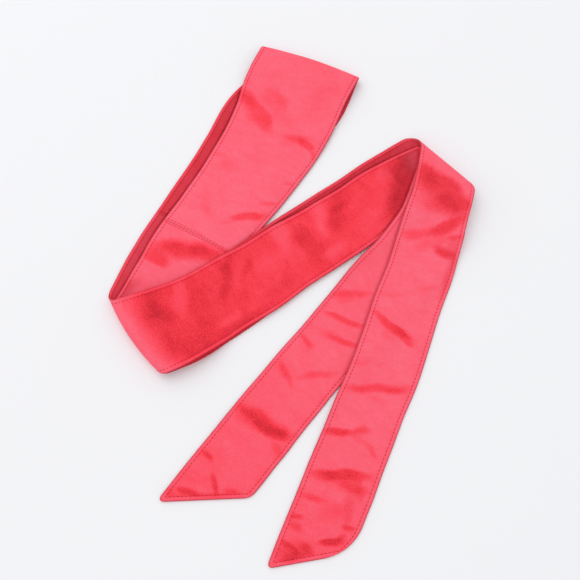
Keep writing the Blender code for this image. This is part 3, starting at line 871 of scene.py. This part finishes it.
# the colour darker where painted shade lies on the cloth, the fine relief, and the shader's own values
def finishCloth(tree, colour, height, look):
    shader = tree.nodes["Principled BSDF"]
    shade = addNode(tree, "ShaderNodeAttribute", {"attribute_name": "shade"}).outputs["Fac"]
    multiply = {"data_type": "RGBA", "blend_type": "MULTIPLY", 7: suedette["shadeTint"]}
    shaded = addNode(tree, "ShaderNodeMix", multiply, {0: shade, 6: colour}).outputs[2]
    bump = addNode(tree, "ShaderNodeBump", {"Strength": look["bump"], "Distance": look["relief"]},
                   {"Height": height}).outputs["Normal"]
    tree.links.new(shaded, shader.inputs["Base Color"])
    tree.links.new(bump, shader.inputs["Normal"])
    for socket, value in look["sockets"].items():
        shader.inputs[socket].default_value = value


# Brushed suedette: the nap's sheen is painted into the colour, light where the nap lies down the cloth and
# deep red where it is rubbed up or in painted shade, in clouds with soft edges, over a fine grain of
# pile that gives the face its dry, powdery look.
def brushedSuedette(piece):
    look = piece["look"]
    material = bpy.data.materials.new(look["name"])
    material.use_nodes = True
    tree = material.node_tree
    spread = addNode(tree, "ShaderNodeUVMap", {"uv_map": "clothSpread"}).outputs["UV"]
    stretched = addNode(tree, "ShaderNodeMapping", {"Scale": look["strokeStretch"]},
                        {"Vector": spread}).outputs["Vector"]
    nap = addNode(tree, "ShaderNodeAttribute", {"attribute_name": "nap"}).outputs["Fac"]
    falling = {"operation": "MULTIPLY_ADD", 1: look["roughFall"], 2: look["roughMost"]}
    rough = addNode(tree, "ShaderNodeMath", falling, {0: nap}).outputs[0]
    total, patterns = nap, {}
    for name, settings in look["patterns"].items():
        noise = {"Scale": 1 / look[name], **settings}
        patterns[name] = addNode(tree, "ShaderNodeTexNoise", noise,
                                 {"Vector": stretched if name == "stroke" else spread}).outputs["Fac"]
        strength = look[name + "Share"]
        change = addNode(tree, "ShaderNodeMath", {"operation": "MULTIPLY_ADD", 1: strength, 2: -strength / 2},
                         {0: patterns[name]}).outputs[0]
        if name in ("cloud", "pile"):  # the grain shows most where the nap is rubbed up
            change = addNode(tree, "ShaderNodeMath", {"operation": "MULTIPLY"},
                             {0: change, 1: rough}).outputs[0]
        total = addNode(tree, "ShaderNodeMath", {"operation": "ADD"}, {0: total, 1: change}).outputs[0]
    total = addNode(tree, "ShaderNodeMath", {"operation": "MULTIPLY", 1: look["contrast"]},
                    {0: total}).outputs[0]
    ramp = addNode(tree, "ShaderNodeValToRGB", {}, {"Fac": total})
    stops = ramp.color_ramp.elements
    while len(stops) < len(look["colours"]):
        stops.new(0.5)
    for stop, (place, colour) in zip(stops, look["colours"].items()):
        stop.position, stop.color = place, linearColour(colour)
    height = addNode(tree, "ShaderNodeMath", {"operation": "MULTIPLY_ADD", 1: 0.5},
                     {0: patterns["rub"], 2: patterns["pile"]}).outputs[0]
    finishCloth(tree, ramp.outputs["Color"], height, look)
    return material


# Polyester sewing thread, dyed to match: a little darker and smoother than the nap, so the row of
# stitches reads as fine dark dashes.
def sewingThread():
    material = bpy.data.materials.new("dyed_sewing_thread")
    material.use_nodes = True
    tree = material.node_tree
    place = addNode(tree, "ShaderNodeTexCoord").outputs["Object"]
    plies = addNode(tree, "ShaderNodeTexNoise", {"Scale": 1 / stitching["ply"], "Detail": 2.0},
                    {"Vector": place}).outputs["Fac"]
    deep = linearColour(stitching["thread"])
    ramp = addNode(tree, "ShaderNodeValToRGB", {}, {"Fac": plies})
    for stop, share in zip(ramp.color_ramp.elements, (0.75, 1.3)):
        stop.color = [min(1.0, part * share) for part in deep[:3]] + [1.0]
    finishCloth(tree, ramp.outputs["Color"], plies, stitching)
    return material


# from the nap rubbed up, deep red that also serves the painted shade, to the nap laid down, light pink with a
# painted sheen
napLook = {
    "colours": {
        0.0: "#CF2636", 0.16: "#EE3140", 0.32: "#F83F4E", 0.48: "#FA4A5C", 0.64: "#FB5769",
        0.8: "#FB6478", 1.0: "#FD768A",
    },
    "roughFall": -1.1, "roughMost": 1.75, "contrast": 0.8,
    # sizes of the patterns in metres, and their shares
    "cloudShare": 0.35, "stroke": 0.007, "strokeShare": 0.28, "strokeStretch": (0.4, 1.0, 1.0),
    "rub": 0.0038, "rubShare": 0.24, "pile": 0.0012, "pileShare": 0.9,
    "patterns": {
        "cloud": {"Detail": 3.0, "Roughness": 0.55, "Distortion": 0.6},
        "stroke": {"Detail": 3.0, "Roughness": 0.6, "Distortion": 0.4},
        "rub": {"Detail": 4.0, "Roughness": 0.6},
        "pile": {"Detail": 2.0, "Roughness": 0.7},
    },
    "bump": 0.35, "relief": 0.0003,
    "sockets": {
        "Roughness": 0.9, "Specular IOR Level": 0.15, "Sheen Weight": 0.12, "Sheen Roughness": 0.45,
        "Sheen Tint": linearColour("#FF98A6"),
    },
}

# The pieces. The flat sizes are those of the cut, in metres, with the area of one face of the doubled
# strip as the solid has it. Nap sheen and painted shade go by the distance from the middle of the waist
# panel.
waistPanel = {
    "name": "suedettePanel", "node": "waist_panel", "slot": "suedette_panel", "stitches": "stitchesPanel",
    "columns": 56, "cutEnd": False, "flat": (0.114, 0.480), "area": 0.0484,
    "parts": [dict(name="backDown", beforeSeam=True, backwards=True),
              dict(name="frontDown", beforeSeam=True, fold="top")],
    "nap": {
        "faceA": {-240: 0.8, -100: 0.85, -20: 0.9, 0: 0.95, 100: 0.97, 240: 1.02},
        "faceB": {-240: 0.45, -100: 0.4, -20: 0.4, 0: 0.5},
    },
    "shade": {
        "faceA": {-240: 0},
        "faceB": {-240: 0.4, -20: 0.44, 0: 0.44, 240: 0},
    },
    "foldHighlight": [],
    "look": {"name": "brushed_suedette_panel", "cloud": 0.024, **napLook},
}

tieFront = {
    "name": "suedetteFrontTie", "node": "tie_front", "slot": "suedette_front", "stitches": "stitchesFrontTie",
    "columns": 38, "cutEnd": True, "flat": (0.084, 0.930), "area": 0.0645,
    "parts": [dict(name="frontDown", afterSeam=True), dict(name="frontBand", fold="left"),
              dict(name="frontTail", fold="right")],
    "nap": {
        "faceA": {240: 0.98, 345: 0.9, 372: 0.7, 560: 0.5, 700: 0.6,
                  740: 0.92, 790: 0.98, 1000: 0.98, 1150: 0.78},
        "faceB": {240: 0.5, 345: 0.45, 372: 0.35, 560: 0.4, 700: 0.45, 740: 0.6},
    },
    "shade": {
        "faceA": {240: 0},
        "faceB": {345: 0.22, 400: 0.42, 700: 0.52, 740: 0.28, 800: 0},
    },
    "foldHighlight": [dict(on="frontBand", fold="right", reach=20, nap=0.95),
             dict(on="frontTail", fold="right", reach=16, nap=0.95)],
    "look": {"name": "brushed_suedette_front_tie", "cloud": 0.022, **napLook},
}

tieBack = {
    "name": "suedetteBackTie", "node": "tie_back", "slot": "suedette_back", "stitches": "stitchesBackTie",
    "columns": 38, "cutEnd": True, "flat": (0.084, 0.943), "area": 0.0649,
    "parts": [dict(name="backDown", afterSeam=True), dict(name="backBand", fold="left"),
              dict(name="backTail", fold="right")],
    "nap": {
        "faceA": {240: 0.6, 345: 0.55, 385: 0.5, 450: 0.5, 510: 0.5,
                  690: 0.5, 740: 0.8, 790: 0.93, 1000: 0.92, 1160: 0.76},
        "faceB": {345: 0.5, 385: 0.27, 450: 0.25, 510: 0.38, 690: 0.4, 740: 0.4, 790: 0.6},
    },
    "shade": {
        "faceA": {240: 0.4, 360: 0.44, 740: 0.15, 800: 0},
        "faceB": {240: 0},
    },
    "foldHighlight": [dict(on="backDown", fold="left", reach=30, nap=0.95),
             dict(on="backBand", fold="left", reach=27, nap=0.98)],
    "look": {"name": "brushed_suedette_back_tie", "cloud": 0.023, **napLook},
}

stitchShape = modelStitch()
thread = sewingThread()
for piece in (waistPanel, tieFront, tieBack):
    strip, faces = clothShell(piece)
    strip.data.materials.append(brushedSuedette(piece))
    stitches = sewStitches(piece, faces, piece["stitches"])
    stitches.data.materials.append(thread)
    for part in (strip, stitches):
        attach(part, "root")
    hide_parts(piece["node"])
    print("sewed", piece["name"])


# floor, light and camera
studio = {
    "floor": "#F2F2F4",
    "sky": (0.985, 0.99, 1.0), "skyStrength": 0.88,
    "softboxSize": 2.4, "softboxPlace": (-0.9, 1.0, 2.2), "softboxPower": 15.0,
    "cameraPlace": (-0.0045, -0.2035, 0.6216), "cameraTilt": 17, "lens": 40.34,
}

deselectAll()
bpy.ops.mesh.primitive_plane_add(size=8, location=(0, 0, -0.0002))
floor = bpy.context.object
floor.name = "paleFloor"
paper = bpy.data.materials.new("matt_white_paper")
paper.use_nodes = True
paperShader = paper.node_tree.nodes["Principled BSDF"]
paperShader.inputs["Base Color"].default_value = linearColour(studio["floor"])
paperShader.inputs["Roughness"].default_value = 0.9
paperShader.inputs["Specular IOR Level"].default_value = 0.1
floor.data.materials.append(paper)

world = bpy.data.worlds.new("paleStudio")
world.use_nodes = True
background = world.node_tree.nodes["Background"]
background.inputs["Color"].default_value = (*studio["sky"], 1.0)
background.inputs["Strength"].default_value = studio["skyStrength"]
scene.world = world

lamp = bpy.data.lights.new("softbox", "AREA")
lamp.size, lamp.energy = studio["softboxSize"], studio["softboxPower"]
softbox = bpy.data.objects.new("softbox", lamp)
softbox.location = studio["softboxPlace"]
x, y, z = studio["softboxPlace"]
softbox.rotation_euler = (math.atan2(math.hypot(x, y), z), 0, math.atan2(-x, y) + math.pi)
scene.collection.objects.link(softbox)

lens = bpy.data.cameras.new("camera")
lens.lens, lens.sensor_width = studio["lens"], 36.0
lens.clip_start = 0.01
camera = bpy.data.objects.new("camera", lens)
camera.location = studio["cameraPlace"]
camera.rotation_euler = (math.radians(studio["cameraTilt"]), 0, 0)
scene.collection.objects.link(camera)
scene.camera = camera
scene.view_settings.view_transform = "Standard"
print("set the floor, the light and the camera")
